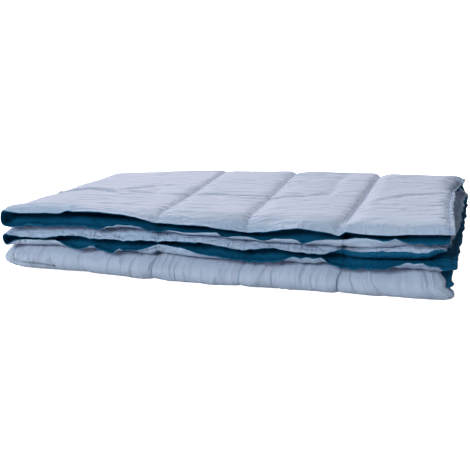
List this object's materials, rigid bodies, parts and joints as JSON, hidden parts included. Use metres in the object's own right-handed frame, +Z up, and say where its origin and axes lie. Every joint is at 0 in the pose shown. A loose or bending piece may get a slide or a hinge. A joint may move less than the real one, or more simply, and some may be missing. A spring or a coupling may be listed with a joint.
{
  "type": "folded duvet",
  "caption": "Channel-quilted duvet folded into a soft pile: pale blue face outside, dark teal reverse in the open wavy hems at the front, rounded folds at the other sides.",
  "frame": {"origin": "middle of the pile's footprint, on the surface that it lies on", "axes": "+X along the pile, from the fold of the width to the side hems; +Y from the open hems at the front to the back fold; +Z up"},
  "size_m": [0.7714, 0.4978, 0.1188],
  "materials": {
    "duvet_cloth": "soft matte woven cloth, pale lavender blue on the face and dark petrol teal on the reverse"
  },
  "bodies": {
    "root": {"duvet": "duvet_cloth"}
  },
  "joints": []
}
